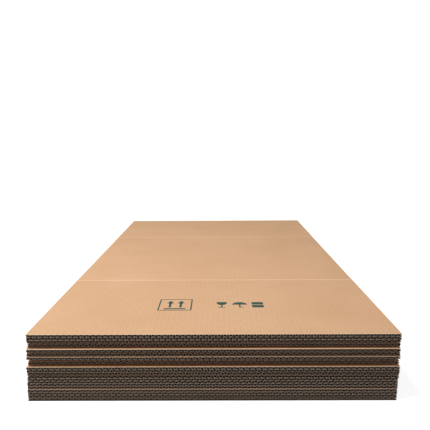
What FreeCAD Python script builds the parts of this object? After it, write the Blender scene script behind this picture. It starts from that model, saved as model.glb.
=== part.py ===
"""A pack of flattened corrugated moving boxes, each one folded in half, lying in a stack.

Frame: X runs along the front edge, Y runs back along the flutes, Z is up.
The origin is on the floor, under the middle of the pack. Millimetres.
"""

import FreeCAD
import Part

import math
import os

# One box blank: four side panels in a ring, each with a flap at both ends.
PANEL_WIDTH = 508.0  # from bend to bend, over the outside, once flat
PANEL_HEIGHT = 386.0  # flap score to flap score
FLAP_LENGTH = 254.0  # half the width of the erected box, so that its flaps meet
SLOT_WIDTH = 4.0  # cut between two neighbouring flaps
SLOT_OVERCUT = 2.0  # how far a slot runs past the flap score, into the bend
BOARD = 3.6  # C flute board, pressed a little in the pack
LINER = 0.5  # paper above and below a flute
SPINE_RADIUS = 4.5  # outer corners of the wide bend around all four layers

# The lap that closes the ring of panels is crushed when it is glued.
LAP_WIDTH = 35.0
LAP_THICKNESS = 1.0
SEAM_GAP = 1.0  # from the bend of the lap to the cut edge of the panel glued on it

# Flutes run from the front edge to the back edge of every layer.
FLUTE_PITCH = 8.0
CELL_MOUTH = 6.8  # width of one triangular cell at its base
CELL_STRIDE = 2  # one cell is open in every two flutes, to keep the face count low

# A flap folds on a score pressed into the outer face of its panel.
SCORE_WIDTH = 4.0
SCORE_DEPTH = 0.35

# Air between the four layers of each box, top box first: inside its upper half,
# between the two halves, and inside its lower half, where the lap lies.
LAYER_GAPS = (
    (0.3, 1.6, 4.2),
    (2.7, 1.0, 6.9),
    (0.4, 0.2, 2.3),
    (0.1, 0.2, 1.2),
    (0.6, 0.2, 1.9),
)

# How far the front edge of each flap falls short of its full length, top layer first.
FRONT_SETBACKS = (
    (0.0, 0.3, 0.5, 3.6),
    (-1.0, 1.2, -1.0, 3.2),
    (-1.4, -1.0, -0.6, 0.2),
    (0.6, 0.7, 0.8, 1.0),
    (-0.7, 0.4, 0.6, 0.9),
)
BACK_SETBACKS = tuple(reversed(FRONT_SETBACKS))

# Sideways place of each box in the pack, top box first. The pack leans a little.
SIDE_SHIFTS = (1.2, 0.5, 0.1, -0.7, -1.2)

LAYERS = 4
LAYERS_FACING_UP = (0, 2)
FRONT = -1
BACK = 1
HALF_WIDTH = PANEL_WIDTH / 2
HALF_HEIGHT = PANEL_HEIGHT / 2


def point(x, y, z):
    return FreeCAD.Vector(x, y, z)


def polygon(corners):
    return Part.makePolygon(corners + corners[:1])


def prism(outline, travel):
    """Solid swept from a flat closed outline by a travel vector."""
    return Part.Face(outline).extrude(travel)


def one_solid(shape, name):
    solids = shape.Solids
    if len(solids) != 1:
        raise ValueError(f"{name} came out as {len(solids)} solids")
    return solids[0]


def box_thickness(gaps):
    return LAYERS * BOARD + sum(gaps)


def layer_bottoms(gaps, floor):
    """Height of the underside of each layer of a box, top layer first."""
    bottoms = [floor + box_thickness(gaps) - BOARD]
    for gap in gaps:
        bottoms.append(bottoms[-1] - gap - BOARD)
    return bottoms


def bend_radius(gap):
    """Outer radius of a bend that joins two layers with this gap between them."""
    return BOARD + gap / 2


def bent_outline(corners):
    """Closed outline through corners of (x, z), at the front scores.

    A corner with a third entry is joined to the next one by an arc that passes through
    the point named there. The others are joined by straight lines.
    """
    edges = []
    for here, following in zip(corners, corners[1:] + corners[:1]):
        start = point(here[0], -HALF_HEIGHT, here[1])
        end = point(following[0], -HALF_HEIGHT, following[1])
        if len(here) == 2:
            edges.append(Part.LineSegment(start, end).toShape())
            continue
        middle = point(here[2][0], -HALF_HEIGHT, here[2][1])
        edges.append(Part.Arc(start, middle, end).toShape())
    return Part.Wire(edges)


def half_turn(x, start, end, side):
    """Corner of a bend at x that bulges to one side (1 right, -1 left) on its way between two heights."""
    bulge = abs(end - start) / 2
    return (x, start, (x + side * bulge, (start + end) / 2))


def spine(radius, reach, top, bottom):
    """Corners of the wide bend, which reaches right to x = reach, from the top layer to the bottom one."""
    offset = radius * (1 - math.sqrt(0.5))
    return [
        (reach - radius, top, (reach - offset, top - offset)),
        (reach, top - radius),
        (reach, bottom + radius, (reach - offset, bottom + offset)),
    ]


def sleeve(gaps, floor):
    """The four side panels, folded flat and then in half: one ring of board, seen from the front.

    The first and second layers are joined at the left. At the right the second and third
    are joined, inside the wide bend that joins the first and fourth like the spine of a book.
    At the left the fourth layer bends into the glued lap, and the third layer ends on that
    lap with a cut edge.
    """
    first, second, third, fourth = layer_bottoms(gaps, floor)
    right = HALF_WIDTH - box_thickness(gaps) / 2
    left = bend_radius(gaps[0]) - HALF_WIDTH
    lap_left = (third - fourth) / 2 - HALF_WIDTH
    cut_edge = lap_left + SEAM_GAP
    lap_end = LAP_WIDTH - HALF_WIDTH
    lap_under = third - LAP_THICKNESS

    outside = bent_outline([
        *spine(SPINE_RADIUS, HALF_WIDTH, first + BOARD, fourth),
        (HALF_WIDTH - SPINE_RADIUS, fourth),
        half_turn(lap_left, fourth, third, -1),
        (lap_left, third),
        (cut_edge, third),
        (cut_edge, third + BOARD),
        half_turn(right, third + BOARD, second, 1),
        (right, second),
        half_turn(left, second, first + BOARD, -1),
        (left, first + BOARD),
    ])
    inside = bent_outline([
        *spine(SPINE_RADIUS - BOARD, HALF_WIDTH - BOARD, first, fourth + BOARD),
        (HALF_WIDTH - SPINE_RADIUS, fourth + BOARD),
        half_turn(lap_left, fourth + BOARD, lap_under, -1),
        (lap_left, lap_under),
        (lap_end, lap_under),
        (lap_end, third),
        half_turn(right, third, second + BOARD, 1),
        (right, second + BOARD),
        half_turn(left, second + BOARD, first, -1),
        (left, first),
    ])
    back = point(0, PANEL_HEIGHT, 0)
    ring = prism(outside, back).cut(prism(inside, back))
    return ring.cut(slot_ends(gaps, floor))


def slot_ends(gaps, floor):
    """What the slots take off both ends of every bend, because they run past the flap scores."""
    height = box_thickness(gaps)
    left_width = max(bend_radius(gaps[0]), bend_radius(gaps[2]))
    right_width = height / 2
    cuts = []
    for y in (-HALF_HEIGHT, HALF_HEIGHT - SLOT_OVERCUT):
        cuts.append(Part.makeBox(left_width, SLOT_OVERCUT, height, point(-HALF_WIDTH, y, floor)))
        right = HALF_WIDTH - right_width
        cuts.append(Part.makeBox(right_width, SLOT_OVERCUT, height, point(right, y, floor)))
    return Part.makeCompound(cuts)


def flap(index, layer, floor, end):
    """One flap, flat and in line with its panel."""
    setbacks = FRONT_SETBACKS if end == FRONT else BACK_SETBACKS
    width = PANEL_WIDTH - SLOT_WIDTH
    length = FLAP_LENGTH - setbacks[index][layer]
    y = -HALF_HEIGHT - length if end == FRONT else HALF_HEIGHT
    bottom = layer_bottoms(LAYER_GAPS[index], floor)[layer]
    return Part.makeBox(width, length, BOARD, point(-width / 2, y, bottom))


def flute_cells(layer, bottom):
    """Open triangular cells of one layer, clear of its bends, from front edge to back edge."""
    step = FLUTE_PITCH * CELL_STRIDE
    widest_bend = max(box_thickness(gaps) for gaps in LAYER_GAPS) / 2
    steps_each_way = int((HALF_WIDTH - widest_bend - CELL_MOUTH / 2) // step)
    rows = 2 * steps_each_way - layer % 2
    reach = PANEL_HEIGHT + FLAP_LENGTH
    cells = []
    for row in range(rows):
        x = (row - (rows - 1) / 2) * step
        corners = [
            point(x - CELL_MOUTH / 2, -reach, bottom + LINER),
            point(x + CELL_MOUTH / 2, -reach, bottom + LINER),
            point(x, -reach, bottom + BOARD - LINER),
        ]
        cells.append(prism(polygon(corners), point(0, 2 * reach, 0)))
    return cells


def scores(layer, bottom):
    """Creases across the outer face of one layer, at the roots of its two flaps."""
    faces_up = layer in LAYERS_FACING_UP
    outer_face = bottom + BOARD if faces_up else bottom
    crease = outer_face - SCORE_DEPTH if faces_up else outer_face + SCORE_DEPTH
    cuts = []
    for end in (FRONT, BACK):
        y = end * HALF_HEIGHT
        corners = [
            point(-PANEL_WIDTH, y - SCORE_WIDTH / 2, outer_face),
            point(-PANEL_WIDTH, y + SCORE_WIDTH / 2, outer_face),
            point(-PANEL_WIDTH, y, crease),
        ]
        cuts.append(prism(polygon(corners), point(2 * PANEL_WIDTH, 0, 0)))
    return cuts


def flute_and_score(shape, bottoms, layers):
    cuts = []
    for layer in layers:
        cuts += flute_cells(layer, bottoms[layer])
        cuts += scores(layer, bottoms[layer])
    return shape.cut(Part.makeCompound(cuts))


def make_box(index, floor):
    """One flattened box. The uppermost flaps of the top box are pieces of their own."""
    bottoms = layer_bottoms(LAYER_GAPS[index], floor)
    fixed_layers = range(1, LAYERS) if index == 0 else range(LAYERS)
    flaps = [flap(index, layer, floor, end) for layer in fixed_layers for end in (FRONT, BACK)]
    body = sleeve(LAYER_GAPS[index], floor).fuse(flaps).removeSplitter()
    return flute_and_score(body, bottoms, range(LAYERS))


def make_loose_flap(floor, end):
    """An uppermost flap of the top box. Nothing lies on it, so it can be lifted."""
    bottoms = layer_bottoms(LAYER_GAPS[0], floor)
    return flute_and_score(flap(0, 0, floor, end), bottoms, [0])


def make_pack():
    """Every piece of the pack by name, stacked from the floor up."""
    pieces = {}
    floor = 0.0
    for index in reversed(range(len(LAYER_GAPS))):
        shapes = {f"box_{index + 1}": make_box(index, floor)}
        if index == 0:
            shapes["box_1_front_flap"] = make_loose_flap(floor, FRONT)
            shapes["box_1_back_flap"] = make_loose_flap(floor, BACK)
        for name, shape in shapes.items():
            pieces[name] = one_solid(shape, name).translated(point(SIDE_SHIFTS[index], 0, 0))
        floor += box_thickness(LAYER_GAPS[index])
    return pieces


def main():
    os.makedirs("parts", exist_ok=True)
    for name, piece in make_pack().items():
        piece.exportStep(f"parts/{name}.step")
        box = piece.BoundBox
        print(
            f"{name}: {piece.Volume / 1000:.1f} cm3, valid {piece.isValid()}, "
            f"x {box.XMin:.2f} to {box.XMax:.2f}, y {box.YMin:.2f} to {box.YMax:.2f}, "
            f"z {box.ZMin:.2f} to {box.ZMax:.2f}"
        )


main()
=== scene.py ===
"""Looks of a pack of flattened moving boxes: fluted board at its real flute spacing.

Metres, in the frame's axes: X along the front edge, Y back along the flutes, Z up.
"""

import math
import random
from collections import namedtuple

import bpy
from mathutils import Matrix, Vector

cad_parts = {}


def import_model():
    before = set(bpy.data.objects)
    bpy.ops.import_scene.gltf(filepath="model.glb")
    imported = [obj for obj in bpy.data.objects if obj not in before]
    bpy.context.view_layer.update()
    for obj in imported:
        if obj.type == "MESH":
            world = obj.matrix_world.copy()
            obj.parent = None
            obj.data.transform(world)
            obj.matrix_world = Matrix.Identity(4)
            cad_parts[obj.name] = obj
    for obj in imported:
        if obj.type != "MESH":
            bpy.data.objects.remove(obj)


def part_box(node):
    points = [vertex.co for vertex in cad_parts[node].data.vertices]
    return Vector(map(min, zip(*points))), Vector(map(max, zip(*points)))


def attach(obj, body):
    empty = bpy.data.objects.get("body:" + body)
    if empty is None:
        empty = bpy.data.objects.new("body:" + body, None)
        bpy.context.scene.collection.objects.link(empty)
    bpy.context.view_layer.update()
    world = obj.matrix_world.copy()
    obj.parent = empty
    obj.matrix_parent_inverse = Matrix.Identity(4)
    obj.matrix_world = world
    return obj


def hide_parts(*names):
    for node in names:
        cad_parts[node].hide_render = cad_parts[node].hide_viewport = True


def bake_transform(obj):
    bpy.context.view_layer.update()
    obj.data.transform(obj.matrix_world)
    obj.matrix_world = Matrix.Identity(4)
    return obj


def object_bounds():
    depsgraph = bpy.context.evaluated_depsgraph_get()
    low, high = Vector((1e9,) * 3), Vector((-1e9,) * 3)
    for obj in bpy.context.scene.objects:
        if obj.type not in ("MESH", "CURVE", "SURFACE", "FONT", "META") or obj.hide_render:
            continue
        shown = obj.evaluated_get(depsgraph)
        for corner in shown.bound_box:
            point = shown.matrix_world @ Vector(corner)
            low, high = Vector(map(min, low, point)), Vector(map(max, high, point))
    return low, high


MM = 0.001

# The blank of one box, as in the frame's solids.
PANEL_WIDTH = 508 * MM
FLAP_LENGTH = 254 * MM
SLOT_WIDTH = 4 * MM
SLOT_OVERCUT = 2 * MM
BOARD = 3.6 * MM
SPINE_RADIUS = 4.5 * MM
LAP_WIDTH = 35 * MM
LAP_THICKNESS = 1 * MM
SEAM_GAP = 1 * MM
FLUTE_PITCH = 8 * MM
SCORE_WIDTH = 4 * MM
SCORE_DEPTH = 0.35 * MM
HALF_WIDTH = PANEL_WIDTH / 2
FLAP_HALF_WIDTH = HALF_WIDTH - SLOT_WIDTH / 2

# Paper of the board: two liners with the flute between them.
LINER = 0.35 * MM
FLUTE_PAPER = 0.5 * MM
FLUTE_SWING = (BOARD - 2 * LINER - FLUTE_PAPER) / 2  # of the paper's middle, up or down
FLUTE_STEEPNESS = 2.0  # 1 is a plain sine, and more presses the crests flat on the liners
# The paler rim is partly rubbed wear, partly a painted highlight of the lit edge.
RIM_WEAR_AND_HIGHLIGHT = 2 * MM  # width of the paler rim along the cut edge of a flap
CREASE_REACH = 0.4 * MM  # half the width of the board that bends when a flap is lifted

# How finely the sheets and signs are divided.
STEPS_PER_FLUTE = 12
FLAP_COLUMNS = 65  # across the liners of a flap
PANEL_COLUMNS = 9  # across each flat stretch of the side panels
BEND_COLUMNS = 17  # around a bend that joins two layers, both ends included
CORNER_COLUMNS = 9  # around a corner of the wide bend
CREASE_ROWS = 13  # across the board that bends when a flap is lifted
DISC_POINTS = 17  # around the half disc of a sign
SHARP_ANGLE = math.radians(40)

# Air between the four layers of each box, top box first, in millimetres.
LAYER_GAPS = (
    (0.3, 1.6, 4.2),
    (2.7, 1.0, 6.9),
    (0.4, 0.2, 2.3),
    (0.1, 0.2, 1.2),
    (0.6, 0.2, 1.9),
)

# How far the cut edge of each front flap falls short of its full length, in millimetres.
# The back flaps have the same rows in reverse order.
FRONT_SETBACKS = (
    (0.0, 0.3, 1.3, 3.6),
    (-1.0, 1.2, -1.0, 3.2),
    (-1.4, -1.0, -0.6, 0.2),
    (0.6, 0.7, 0.8, 1.0),
    (0.3, 0.4, 0.6, 0.9),
)
BACK_SETBACKS = tuple(reversed(FRONT_SETBACKS))

# Card is springy: how far the free edge of each flap stands above its panel, in millimetres.
FLAP_LIFTS = (
    (0.0, 0.0, 0.6, 2.6),
    (0.0, 0.0, 0.0, 3.4),
    (0.0, 0.0, 0.0, 0.6),
    (0.0, 0.0, 0.0, 0.6),
    (0.0, 0.0, 0.0, 0.0),
)

# The corners of a springy flap hang down: by this share of its lift, and only close to its sides.
CORNER_DROOP = 0.45
DROOP_POWER = 6

# Rows of points across a flap, as shares of its length from the crease. The liners have more
# of them beside the score and the rim.
LINER_SHARES = (0.25, 0.5, 0.75, 0.9)
FLUTE_SHARES = (0.0, 0.5, 1.0)

# A cut edge is slightly uneven: waves within these limits are added up along it.
EDGE_WAVES = 3
WAVE_HEIGHTS = (0.03 * MM, 0.12 * MM)
WAVE_LENGTHS = (80 * MM, 250 * MM)

LAYERS = 4
BOXES = len(LAYER_GAPS)
LAYERS_FACING_UP = (0, 2)
FRONT = -1
BACK = 1

# Plain handling signs printed on the front flap: places of their middles and their side lengths.
INK_THICKNESS = 0.03 * MM
FRAMED_SIGN_PLACE = (-59 * MM, -328 * MM)
FRAMED_SIGN_SIZE = 52 * MM
SIGN_ROW_START = (13.5 * MM, -329 * MM)
SIGN_ROW_STEP = 28 * MM
ROW_SIGN_SIZE = 28 * MM

# Drawing of the signs, in shares of their side. Each bar and arrow head has a width, a bottom
# and a top.
SIGN_MIDDLE = 0.5
FRAME_LINE = 0.04
GROUND_BAR = (0.64, 0.1, 0.19)
ARROW_PLACES = (0.34, 0.66)
ARROW_SHAFT = (0.07, 0.26, 0.66)
ARROW_HEAD = (0.22, 0.62, 0.86)
BOWL_RADIUS = 0.28
BOWL_HEIGHT = 0.75
GLASS_RIM = (2 * BOWL_RADIUS, 0.74, 0.96)
GLASS_STEM = (0.08, 0.12, 0.5)
GLASS_FOOT = (0.4, 0.04, 0.13)
CANOPY_RADIUS = 0.42
CANOPY_HEIGHT = 0.52
UMBRELLA_STICK = (0.08, 0.05, 0.53)
UMBRELLA_HOOK = (0.15, 0.05, 0.13)
HOOK_PLACE = 0.605
STACKED_SQUARES = ((0.64, 0.06, 0.46), (0.64, 0.54, 0.94))

# Camera, measured from the top front edge, on the pack's centre plane.
CAMERA_OFFSET = Vector((7.8, -638.2, 264.4)) * MM
CAMERA_YAW = math.radians(-0.32)
CAMERA_PITCH = math.radians(9.16)
CAMERA_ROLL = math.radians(-0.29)
CAMERA_LENS = 42.17
CAMERA_SENSOR = 36.0

# One lamp above the front left, and what the room around adds to it.
LAMP_PLACE = Vector((-0.9, -0.65, 2.1))
LAMP_TARGET = Vector((0, -0.2, 0))
LAMP_SIZE = 0.8
LAMP_POWER = 47
ROOM_STRENGTHS = (0.15, 1.0)  # as a light, and as the camera and reflections see it

# Floor, and its lift towards white for the camera, which grows between two distances from the middle.
FLOOR_SIZE = 60
FLOOR_GREY = 0.6
LIFT_DISTANCES = (1.0, 4.0)
LIFT_STRENGTHS = (0.88, 1.0)

# Display colours from 0 to 255, the darker one first. Tints are multiplied onto other colours.
WHITE = (255, 255, 255)
LINER_COLOURS = ((219, 175, 135), (225, 182, 143))
# Paler liner: worn along the scores; on the rim along a flap's cut edge partly rubbed wear, partly a
# painted highlight of the lit edge.
WEAR_AND_HIGHLIGHT_COLOURS = ((236, 196, 158), (246, 208, 170))
INSIDE_COLOURS = ((184, 148, 115), (192, 155, 121))
EDGE_COLOURS = ((170, 151, 134), (190, 171, 154))
# Painted highlight: the cut edges of the free flute webs, much paler than the other cut edges.
FLUTE_HIGHLIGHT_COLOURS = ((238, 222, 205), (250, 236, 220))
# Flute paper and the liners' faces towards it are painted near black: painted shade inside the flute
# cells.
FLUTE_SHADE_COLOURS = ((40, 30, 23), (52, 40, 31))
INK_COLOURS = ((40, 68, 64), (72, 92, 84))
LINER_FIBRE_TINTS = ((247, 246, 244), WHITE)
EDGE_FIBRE_TINTS = ((205, 200, 196), WHITE)
RIDGE_TINTS = ((253, 252, 252), WHITE)

# Noise in a material. Its colour changes between the two noise values that are its stops.
Grain = namedtuple("Grain", "scale detail stops stretch", defaults=[(1, 1, 1)])
LINER_CLOUDS = Grain(9, 4, (0.3, 0.7))
LINER_FIBRES = Grain(700, 5, (0.35, 0.65), (1, 0.12, 1))
EDGE_LAYERS = Grain(40, 2, (0.3, 0.7), (0.06, 0.06, 8))
EDGE_FIBRES = Grain(1500, 4, (0.3, 0.7))
FLUTE_FIBRES = Grain(300, 3, (0.3, 0.7))
INK_GRAIN = Grain(900, 3, (0.35, 0.75))

# Ridges that the flutes print through a liner.
RIDGE_HEIGHT = 0.008 * MM
RIDGE_DISTORTION = 0.3
WAVE_REPEAT = math.tau / 20  # length after which the wave texture repeats, at a scale of 1

# Roughness and specular level of each kind of surface.
LINER_SHEEN = (0.82, 0.25)
ROUGH_SHEEN = (0.95, 0.1)
INK_SHEEN = (0.8, 0.2)
FLOOR_SHEEN = (1.0, 0.0)

# Places of the board's materials in board_materials.
LINER_SLOT = 0
EDGE_SLOT = 1
FLUTE_SHADE_SLOT = 2
WEAR_AND_HIGHLIGHT_SLOT = 3
INSIDE_SLOT = 4
FLUTE_HIGHLIGHT_SLOT = 5


def add_object(name, data):
    thing = bpy.data.objects.new(name, data)
    bpy.context.scene.collection.objects.link(thing)
    return thing


def add_mesh(name, points, faces, materials):
    mesh = bpy.data.meshes.new(name)
    mesh.from_pydata(points, [], faces)
    for material in materials:
        mesh.materials.append(material)
    return add_object(name, mesh)


class MeshParts:
    """Collects the closed strips that one piece is made of."""

    def __init__(self):
        self.points = []
        self.faces = []
        self.slots = []

    def strip(self, columns, outer_slots, inner_slots, edge_slots=None):
        """Closed strip. Each column is a list of (outer point, inner point) from front to back.

        The outer and inner slots are those of the rows of faces between the points, also from
        front to back. The edge slots are those of the cut edges between the columns.
        """
        edge_slots = edge_slots or [EDGE_SLOT] * (len(columns) - 1)
        first = len(self.points)
        rows = len(columns[0])
        for column in columns:
            for outer, inner in column:
                self.points += [outer, inner]

        def corner(column, row, side):
            return first + 2 * (column * rows + row) + side

        last_column = len(columns) - 1
        last_row = rows - 1
        for column in range(last_column):
            for row in range(last_row):
                for side, slot in ((0, outer_slots[row]), (1, inner_slots[row])):
                    quad = [
                        corner(column, row, side),
                        corner(column + 1, row, side),
                        corner(column + 1, row + 1, side),
                        corner(column, row + 1, side),
                    ]
                    self.add(quad if side == 0 else quad[::-1], slot)
            for row in (0, last_row):
                quad = [
                    corner(column, row, 1),
                    corner(column + 1, row, 1),
                    corner(column + 1, row, 0),
                    corner(column, row, 0),
                ]
                self.add(quad if row == 0 else quad[::-1], edge_slots[column])
        for column in (0, last_column):
            for row in range(last_row):
                quad = [
                    corner(column, row, 0),
                    corner(column, row + 1, 0),
                    corner(column, row + 1, 1),
                    corner(column, row, 1),
                ]
                self.add(quad if column == 0 else quad[::-1], EDGE_SLOT)

    def add(self, quad, slot):
        self.faces.append(quad)
        self.slots.append(slot)

    def build(self, name, materials):
        piece = add_mesh(name, self.points, self.faces, materials)
        piece.data.polygons.foreach_set("material_index", self.slots)
        piece.data.shade_smooth()
        piece.data.set_sharp_from_angle(angle=SHARP_ANGLE)
        return piece


def smooth_step(value):
    value = min(1.0, max(0.0, value))
    return value * value * (3 - 2 * value)


def spread(start, end, count):
    """Evenly spaced values from start to end, both included."""
    return [start + (end - start) * step / (count - 1) for step in range(count)]


def gaps_of(index):
    return [gap * MM for gap in LAYER_GAPS[index]]


def box_thickness(gaps):
    return LAYERS * BOARD + sum(gaps)


def layer_bottoms(gaps, floor):
    """Height of the underside of each layer of a box, top layer first."""
    bottoms = [floor + box_thickness(gaps) - BOARD]
    for gap in gaps:
        bottoms.append(bottoms[-1] - gap - BOARD)
    return bottoms


def bend_radius(gap):
    """Outer radius of a bend that joins two layers with this gap between them."""
    return BOARD + gap / 2


def place_of(node):
    """Middle in X and underside in Z of a node."""
    low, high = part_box(node)
    return (low.x + high.x) / 2, low.z


class Flap:
    """Where one flap lies: its outline, its springy lift and its slightly uneven edge."""

    def __init__(self, index, layer, end, floor, shift, crease):
        setbacks = FRONT_SETBACKS if end == FRONT else BACK_SETBACKS
        self.left = shift - FLAP_HALF_WIDTH
        self.right = shift + FLAP_HALF_WIDTH
        self.end = end
        self.crease = end * crease
        self.length = FLAP_LENGTH - setbacks[index][layer] * MM
        self.bottom = layer_bottoms(gaps_of(index), floor)[layer]
        self.lift = FLAP_LIFTS[index][layer] * MM
        self.faces_up = layer in LAYERS_FACING_UP
        chance = random.Random(f"{index} {layer} {end}")
        self.phase = chance.uniform(0, FLUTE_PITCH)
        self.waves = [
            (chance.uniform(*WAVE_HEIGHTS), chance.uniform(*WAVE_LENGTHS), chance.uniform(0, math.tau))
            for _ in range(EDGE_WAVES)
        ]

    def place(self, x, share, height):
        """Point of the flap at x, at a share of its length from the crease, height above its underside."""
        off_centre = (2 * x - self.left - self.right) / (self.right - self.left)
        droop = CORNER_DROOP * abs(off_centre) ** DROOP_POWER
        rise = self.lift * (1 - droop) * smooth_step(share)
        ragged = sum(size * math.sin(math.tau * x / length + turn) for size, length, turn in self.waves)
        y = self.crease + self.end * (self.length - abs(ragged)) * share
        return Vector((x, y, self.bottom + rise + height))

    def front_to_back(self, shares):
        """Shares of the flap's length in the order in which they follow each other in Y."""
        return sorted(shares, reverse=self.end == FRONT)


def liner_strips(parts, flap):
    """The two liners of a flap, paler along the score, where they are worn, and along the cut edge, where
    the rim is partly rubbed wear and partly a painted highlight of the lit edge.
    """
    shares = flap.front_to_back([
        0.0,
        SCORE_WIDTH / 2 / flap.length,
        *LINER_SHARES,
        1 - RIM_WEAR_AND_HIGHLIGHT / flap.length,
        1.0,
    ])
    rows = len(shares) - 1
    # The liners' faces towards the flutes take the painted shade of the flute cells.
    hidden = [FLUTE_SHADE_SLOT] * rows
    inside = [INSIDE_SLOT] * rows
    outside = [WEAR_AND_HIGHLIGHT_SLOT] + [LINER_SLOT] * (rows - 2) + [WEAR_AND_HIGHLIGHT_SLOT]

    def dip(share, outer_face):
        return SCORE_DEPTH if share == 0.0 and outer_face else 0.0

    upper = []
    lower = []
    for x in spread(flap.left, flap.right, FLAP_COLUMNS):
        upper.append([
            (
                flap.place(x, share, BOARD - dip(share, flap.faces_up)),
                flap.place(x, share, BOARD - LINER),
            )
            for share in shares
        ])
        lower.append([
            (
                flap.place(x, share, LINER),
                flap.place(x, share, dip(share, not flap.faces_up)),
            )
            for share in shares
        ])
    parts.strip(upper, outside if flap.faces_up else inside, hidden)
    parts.strip(lower, hidden, inside if flap.faces_up else outside)


def flute_section(x):
    """The wavy paper at x, above the board's underside: its bottom, its top, and if it is free.

    It is free on its way between the liners, where it doesn't lie against either of them.
    """
    turn = math.tau * x / FLUTE_PITCH
    wave = FLUTE_STEEPNESS * math.sin(turn)
    free = abs(wave) < 1
    slope = FLUTE_STEEPNESS * FLUTE_SWING * math.tau / FLUTE_PITCH * math.cos(turn) if free else 0
    middle = BOARD / 2 + FLUTE_SWING * min(1, max(-1, wave))
    half = FLUTE_PAPER / 2 * math.hypot(1, slope)
    return max(middle - half, LINER), min(middle + half, BOARD - LINER), free


def flute_strip(parts, flap):
    """The wavy paper of a flap. Where it is free, its cut edge is painted pale: a painted highlight on the
    lit webs between the shaded flute cells.
    """
    shares = flap.front_to_back(FLUTE_SHARES)
    hidden = [FLUTE_SHADE_SLOT] * (len(shares) - 1)
    flutes = (flap.right - flap.left) / FLUTE_PITCH
    columns = []
    edge_slots = []
    for x in spread(flap.left, flap.right, round(flutes * STEPS_PER_FLUTE) + 1):
        low, high, free = flute_section(x + flap.phase)
        columns.append([(flap.place(x, share, high), flap.place(x, share, low)) for share in shares])
        edge_slots.append(FLUTE_HIGHLIGHT_SLOT if free else EDGE_SLOT)
    parts.strip(columns, hidden, hidden, edge_slots)


def flap_strips(parts, flap):
    """Two liners and the wavy paper between them, from the crease to the cut edge."""
    liner_strips(parts, flap)
    flute_strip(parts, flap)


def sleeve_path(gaps, floor):
    """The ring of side panels seen from the front, as (outer point, inner point, in a bend) in X and Z."""
    first, second, third, fourth = layer_bottoms(gaps, floor)
    right = HALF_WIDTH - box_thickness(gaps) / 2
    left = bend_radius(gaps[0]) - HALF_WIDTH
    lap_left = (third - fourth) / 2 - HALF_WIDTH
    glued_edge = lap_left + SEAM_GAP
    lap_end = LAP_WIDTH - HALF_WIDTH
    lap_under = third - LAP_THICKNESS
    spine_start = HALF_WIDTH - SPINE_RADIUS

    def flat(start, end, outer, inner):
        return [((x, outer), (x, inner), False) for x in spread(start, end, PANEL_COLUMNS)]

    def bend(x, outer, inner, side):
        """Half turn from one height to another. It bulges to one side: 1 is right and -1 is left."""
        steps = []
        for turn in spread(0, math.pi, BEND_COLUMNS)[1:-1]:
            pair = []
            for start, end in (outer, inner):
                middle = (start + end) / 2
                half = (start - end) / 2
                pair.append((x + side * abs(half) * math.sin(turn), middle + half * math.cos(turn)))
            steps.append((*pair, True))
        return steps

    def corner(z, first_turn, last_turn):
        steps = []
        for turn in spread(first_turn, last_turn, CORNER_COLUMNS):
            pair = [
                (spine_start + radius * math.sin(turn), z + radius * math.cos(turn))
                for radius in (SPINE_RADIUS, SPINE_RADIUS - BOARD)
            ]
            steps.append((*pair, True))
        return steps

    path = flat(glued_edge, right, third + BOARD, third)
    path += bend(right, (third + BOARD, second), (third, second + BOARD), 1)
    path += flat(right, left, second, second + BOARD)
    path += bend(left, (second, first + BOARD), (second + BOARD, first), -1)
    path += flat(left, spine_start, first + BOARD, first)
    path += corner(first + BOARD - SPINE_RADIUS, 0, math.pi / 2)[1:]
    path += corner(fourth + SPINE_RADIUS, math.pi / 2, math.pi)[:-1]
    path += flat(spine_start, lap_left, fourth, fourth + BOARD)
    path += bend(lap_left, (fourth, third), (fourth + BOARD, lap_under), -1)
    path += flat(lap_left, lap_end, third, lap_under)
    return path


def sleeve_strip(parts, index, floor, shift, crease):
    """The four side panels, with their scores at both ends and the bends cut back by the slots."""
    score_end = crease - SCORE_WIDTH / 2
    between = [-score_end, -crease / 2, 0, crease / 2, score_end]
    outside = [WEAR_AND_HIGHLIGHT_SLOT] + [LINER_SLOT] * (len(between) - 1) + [WEAR_AND_HIGHLIGHT_SLOT]
    inside = [INSIDE_SLOT] * len(outside)
    columns = []
    for outer, inner, in_bend in sleeve_path(gaps_of(index), floor):
        reach = crease - SLOT_OVERCUT if in_bend else crease
        toward = Vector((inner[0] - outer[0], 0, inner[1] - outer[1])).normalized()
        column = []
        for y in [-reach, *between, reach]:
            dip = SCORE_DEPTH if abs(y) == crease else 0.0
            column.append((
                Vector((outer[0] + shift, y, outer[1])) + toward * dip,
                Vector((inner[0] + shift, y, inner[1])),
            ))
        columns.append(column)
    parts.strip(columns, outside, inside)


def finish_piece(piece, node, body):
    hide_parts(node)
    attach(piece, body)


def make_box(index, materials, crease):
    """One flattened box in place of its node. The top box's uppermost flaps are pieces of their own."""
    node = f"box_{index + 1}"
    shift, floor = place_of(node)
    parts = MeshParts()
    sleeve_strip(parts, index, floor, shift, crease)
    for layer in range(1 if index == 0 else 0, LAYERS):
        for end in (FRONT, BACK):
            flap_strips(parts, Flap(index, layer, end, floor, shift, crease))
    finish_piece(parts.build(f"{node}_board", materials), node, "pack")


def make_loose_flap(node, end, body, materials, crease):
    """An uppermost flap of the top box, in place of its node."""
    shift, floor = place_of("box_1")
    parts = MeshParts()
    flap_strips(parts, Flap(0, 0, end, floor, shift, crease))
    finish_piece(parts.build(f"{node}_board", materials), node, body)


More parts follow.
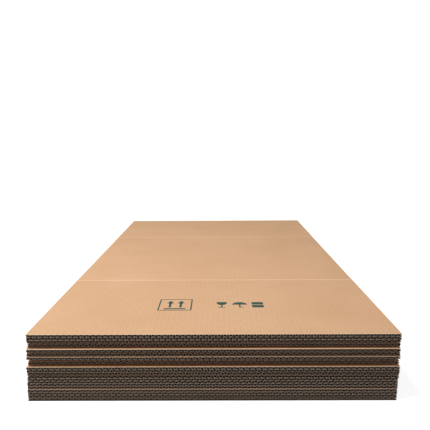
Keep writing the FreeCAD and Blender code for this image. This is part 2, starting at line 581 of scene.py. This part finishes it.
def make_crease_bend(name, end, materials, crease):
    """The board of a liftable flap's crease. It is hidden at rest."""
    shift, floor = place_of("box_1")
    bottom = layer_bottoms(gaps_of(0), floor)[0]
    top = bottom + BOARD - SCORE_DEPTH
    rows = spread(end * crease - CREASE_REACH, end * crease + CREASE_REACH, CREASE_ROWS)
    slots = [INSIDE_SLOT] * (len(rows) - 1)
    columns = [
        [(Vector((x, y, top)), Vector((x, y, bottom))) for y in rows]
        for x in (shift - FLAP_HALF_WIDTH, shift + FLAP_HALF_WIDTH)
    ]
    parts = MeshParts()
    parts.strip(columns, slots, slots)
    piece = parts.build(name, materials)
    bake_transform(piece)


def bar(x, size):
    """Rectangle centred on x, with this width, bottom and top."""
    width, bottom, top = size
    left = x - width / 2
    right = x + width / 2
    return [(left, bottom), (right, bottom), (right, top), (left, top)]


def half_disc(height, radius, side):
    """Upper (side 1) or lower (side -1) half of a disc with its middle at this height."""
    return [
        (SIGN_MIDDLE + side * radius * math.cos(turn), height + side * radius * math.sin(turn))
        for turn in spread(0, math.pi, DISC_POINTS)
    ]


def sign_frame():
    line = FRAME_LINE
    rows = [bar(SIGN_MIDDLE, (1, bottom, bottom + line)) for bottom in (0, 1 - line)]
    sides = [bar(x, (line, line, 1 - line)) for x in (line / 2, 1 - line / 2)]
    return rows + sides


def arrows():
    """Two upright arrows over a bar."""
    outlines = [bar(SIGN_MIDDLE, GROUND_BAR)]
    width, bottom, top = ARROW_HEAD
    for x in ARROW_PLACES:
        outlines.append(bar(x, ARROW_SHAFT))
        outlines.append([(x - width / 2, bottom), (x + width / 2, bottom), (x, top)])
    return outlines


def sign_outlines():
    """Common handling signs, each as convex outlines in a square from 0 to 1."""
    glass = [half_disc(BOWL_HEIGHT, BOWL_RADIUS, -1)]
    glass += [bar(SIGN_MIDDLE, size) for size in (GLASS_RIM, GLASS_STEM, GLASS_FOOT)]
    umbrella = [
        half_disc(CANOPY_HEIGHT, CANOPY_RADIUS, 1),
        bar(SIGN_MIDDLE, UMBRELLA_STICK),
        bar(HOOK_PLACE, UMBRELLA_HOOK),
    ]
    stack = [bar(SIGN_MIDDLE, size) for size in STACKED_SQUARES]
    return {"arrows": arrows() + sign_frame(), "glass": glass, "umbrella": umbrella, "stack": stack}


def make_sign(name, outlines, place, size, surface, material):
    """Thin flat print that lies on a surface at this height."""
    points = []
    faces = []
    for outline in outlines:
        first = len(points)
        count = len(outline)
        for z in (surface, surface + INK_THICKNESS):
            for across, along in outline:
                x = place[0] + (across - SIGN_MIDDLE) * size
                y = place[1] + (along - SIGN_MIDDLE) * size
                points.append((x, y, z))
        faces.append([first + corner for corner in reversed(range(count))])
        faces.append([first + count + corner for corner in range(count)])
        for corner in range(count):
            following = (corner + 1) % count
            faces.append([
                first + corner,
                first + following,
                first + count + following,
                first + count + corner,
            ])
    sign = add_mesh(name, points, faces, [material])
    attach(sign, "front_flap")


def make_signs(surface):
    outlines = sign_outlines()
    ink = printing_ink()
    make_sign("sign_arrows", outlines["arrows"], FRAMED_SIGN_PLACE, FRAMED_SIGN_SIZE, surface, ink)
    x, y = SIGN_ROW_START
    for step, name in enumerate(("glass", "umbrella", "stack")):
        place = (x + step * SIGN_ROW_STEP, y)
        make_sign(f"sign_{name}", outlines[name], place, ROW_SIGN_SIZE, surface, ink)


def new_material(name, sheen):
    material = bpy.data.materials.new(name)
    material.use_nodes = True
    tree = material.node_tree
    shader = tree.nodes["Principled BSDF"]
    roughness, specular = sheen
    shader.inputs["Roughness"].default_value = roughness
    shader.inputs["Specular IOR Level"].default_value = specular
    coordinates = tree.nodes.new("ShaderNodeTexCoord")
    return material, tree, shader, coordinates


def srgb(red, green, blue):
    """Linear colour from 0 to 255 display values."""
    linear = [
        value / 12.92 if value <= 0.04045 else ((value + 0.055) / 1.055) ** 2.4
        for value in (red / 255, green / 255, blue / 255)
    ]
    return (*linear, 1.0)


def ramp(tree, value, stops, colours):
    """Colour that goes from the first colour to the second one between two values."""
    node = tree.nodes.new("ShaderNodeValToRGB")
    for element, stop, colour in zip(node.color_ramp.elements, stops, colours):
        element.position = stop
        element.color = srgb(*colour)
    tree.links.new(value, node.inputs["Fac"])
    return node.outputs["Color"]


def mottle(tree, coordinates, grain, colours):
    """Colour that wanders between two colours, with noise over the piece's own coordinates."""
    mapping = tree.nodes.new("ShaderNodeMapping")
    mapping.inputs["Scale"].default_value = grain.stretch
    texture = tree.nodes.new("ShaderNodeTexNoise")
    texture.inputs["Scale"].default_value = grain.scale
    texture.inputs["Detail"].default_value = grain.detail
    tree.links.new(coordinates.outputs["Object"], mapping.inputs["Vector"])
    tree.links.new(mapping.outputs["Vector"], texture.inputs["Vector"])
    return ramp(tree, texture.outputs["Fac"], grain.stops, colours)


def multiply(tree, colour, tint):
    node = tree.nodes.new("ShaderNodeMixRGB")
    node.blend_type = "MULTIPLY"
    node.inputs["Fac"].default_value = 1.0
    tree.links.new(colour, node.inputs["Color1"])
    tree.links.new(tint, node.inputs["Color2"])
    return node.outputs["Color"]


def bump(tree, shader, height, distance):
    node = tree.nodes.new("ShaderNodeBump")
    node.inputs["Distance"].default_value = distance
    tree.links.new(height, node.inputs["Height"])
    tree.links.new(node.outputs["Normal"], shader.inputs["Normal"])


def map_range(tree, value, given, wanted):
    """Value moved from one range of numbers, given, to another, wanted."""
    node = tree.nodes.new("ShaderNodeMapRange")
    for socket, number in zip(("From Min", "From Max", "To Min", "To Max"), (*given, *wanted)):
        node.inputs[socket].default_value = number
    tree.links.new(value, node.inputs["Value"])
    return node.outputs["Result"]


def calculate(tree, operation, first, second):
    node = tree.nodes.new("ShaderNodeMath")
    node.operation = operation
    tree.links.new(first, node.inputs[0])
    tree.links.new(second, node.inputs[1])
    return node.outputs["Value"]


def washboard(tree, coordinates):
    """Faint ridges that the flutes print through the liner, one for each flute, from 0 to 1."""
    texture = tree.nodes.new("ShaderNodeTexWave")
    texture.wave_type = "BANDS"
    texture.bands_direction = "X"
    texture.inputs["Scale"].default_value = WAVE_REPEAT / FLUTE_PITCH
    texture.inputs["Distortion"].default_value = RIDGE_DISTORTION
    tree.links.new(coordinates.outputs["Object"], texture.inputs["Vector"])
    return texture.outputs["Fac"]


def kraft_liner(name, colours):
    """Smooth brown liner: soft clouds, short fibres along the flutes and faint flute ridges."""
    material, tree, shader, coordinates = new_material(name, LINER_SHEEN)
    clouds = mottle(tree, coordinates, LINER_CLOUDS, colours)
    fibres = mottle(tree, coordinates, LINER_FIBRES, LINER_FIBRE_TINTS)
    ridges = washboard(tree, coordinates)
    colour = multiply(tree, clouds, fibres)
    colour = multiply(tree, colour, ramp(tree, ridges, (0.0, 1.0), RIDGE_TINTS))
    tree.links.new(colour, shader.inputs["Base Color"])
    bump(tree, shader, ridges, RIDGE_HEIGHT)
    return material


def cut_edge(name, colours):
    """Cut edges of the papers: fibrous, with a tone that changes from layer to layer."""
    material, tree, shader, coordinates = new_material(name, ROUGH_SHEEN)
    layers = mottle(tree, coordinates, EDGE_LAYERS, colours)
    fibres = mottle(tree, coordinates, EDGE_FIBRES, EDGE_FIBRE_TINTS)
    tree.links.new(multiply(tree, layers, fibres), shader.inputs["Base Color"])
    return material


def shaded_flute_paper():
    """The rougher paper of the flutes, painted near black: painted shade inside the flute cells. The
    liners' faces towards the flutes take it too.
    """
    material, tree, shader, coordinates = new_material("shaded_flute_paper", ROUGH_SHEEN)
    colour = mottle(tree, coordinates, FLUTE_FIBRES, FLUTE_SHADE_COLOURS)
    tree.links.new(colour, shader.inputs["Base Color"])
    return material


def printing_ink():
    """Dull dark green ink, a little uneven where the paper took less of it."""
    material, tree, shader, coordinates = new_material("printing_ink", INK_SHEEN)
    colour = mottle(tree, coordinates, INK_GRAIN, INK_COLOURS)
    tree.links.new(colour, shader.inputs["Base Color"])
    return material


def board_materials():
    """The board's materials, in the order of their slots."""
    return [
        kraft_liner("kraft_liner", LINER_COLOURS),
        cut_edge("cut_edge", EDGE_COLOURS),
        shaded_flute_paper(),
        kraft_liner("crease_wear_and_rim_highlight", WEAR_AND_HIGHLIGHT_COLOURS),
        kraft_liner("inside_liner", INSIDE_COLOURS),
        cut_edge("flute_web_highlight", FLUTE_HIGHLIGHT_COLOURS),
    ]


def make_camera(top_front):
    data = bpy.data.cameras.new("camera")
    data.lens = CAMERA_LENS
    data.sensor_width = CAMERA_SENSOR
    camera = add_object("camera", data)
    up = Vector((0, 0, 1))
    ahead = Vector((math.sin(CAMERA_YAW), math.cos(CAMERA_YAW), 0))
    right = Vector((math.cos(CAMERA_YAW), -math.sin(CAMERA_YAW), 0))
    view = ahead * math.cos(CAMERA_PITCH) - up * math.sin(CAMERA_PITCH)
    level_up = up * math.cos(CAMERA_PITCH) + ahead * math.sin(CAMERA_PITCH)
    side = right * math.cos(CAMERA_ROLL) + level_up * math.sin(CAMERA_ROLL)
    top = level_up * math.cos(CAMERA_ROLL) - right * math.sin(CAMERA_ROLL)
    place = Matrix((side, top, -view)).transposed().to_4x4()
    place.translation = top_front + CAMERA_OFFSET
    camera.matrix_world = place
    bpy.context.scene.camera = camera


def make_lamp():
    data = bpy.data.lights.new("key", "AREA")
    data.shape = "DISK"
    data.size = LAMP_SIZE
    data.energy = LAMP_POWER
    lamp = add_object("key", data)
    lamp.location = LAMP_PLACE
    lamp.rotation_euler = (LAMP_TARGET - LAMP_PLACE).to_track_quat("-Z", "Y").to_euler()


def make_floor():
    """Pale floor that keeps the shadow; seen by the camera it is lifted to white."""
    bpy.ops.mesh.primitive_plane_add(size=FLOOR_SIZE)
    floor = bpy.context.object
    floor.name = "floor"
    material, tree, shader, coordinates = new_material("floor", FLOOR_SHEEN)
    shader.inputs["Base Color"].default_value = (FLOOR_GREY, FLOOR_GREY, FLOOR_GREY, 1)
    distance = tree.nodes.new("ShaderNodeVectorMath")
    distance.operation = "LENGTH"
    tree.links.new(coordinates.outputs["Object"], distance.inputs[0])
    lift = map_range(tree, distance.outputs["Value"], LIFT_DISTANCES, LIFT_STRENGTHS)
    path = tree.nodes.new("ShaderNodeLightPath")
    glow = tree.nodes.new("ShaderNodeEmission")
    seen = calculate(tree, "MULTIPLY", path.outputs["Is Camera Ray"], lift)
    tree.links.new(seen, glow.inputs["Strength"])
    add = tree.nodes.new("ShaderNodeAddShader")
    tree.links.new(shader.outputs["BSDF"], add.inputs[0])
    tree.links.new(glow.outputs["Emission"], add.inputs[1])
    tree.links.new(add.outputs["Shader"], tree.nodes["Material Output"].inputs["Surface"])
    floor.data.materials.append(material)


def make_world():
    """White room that lights the pack only a little."""
    world = bpy.data.worlds.new("studio")
    bpy.context.scene.world = world
    world.use_nodes = True
    tree = world.node_tree
    background = tree.nodes["Background"]
    background.inputs["Color"].default_value = srgb(*WHITE)
    path = tree.nodes.new("ShaderNodeLightPath")
    seen = calculate(tree, "MAXIMUM", path.outputs["Is Camera Ray"], path.outputs["Is Glossy Ray"])
    strength = map_range(tree, seen, (0.0, 1.0), ROOM_STRENGTHS)
    tree.links.new(strength, background.inputs["Strength"])


def main():
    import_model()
    cad_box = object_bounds()
    low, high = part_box("box_1_front_flap")
    top_front = Vector((0, low.y, cad_box[1].z))
    crease = -high.y

    make_camera(top_front)
    make_floor()
    make_world()
    make_lamp()
    bpy.context.scene.view_settings.view_transform = "Standard"

    materials = board_materials()
    for index in range(BOXES):
        make_box(index, materials, crease)
    make_loose_flap("box_1_front_flap", FRONT, "front_flap", materials, crease)
    make_loose_flap("box_1_back_flap", BACK, "back_flap", materials, crease)
    make_crease_bend("front_crease", FRONT, materials, crease)
    make_crease_bend("back_crease", BACK, materials, crease)
    make_signs(cad_box[1].z)


main()
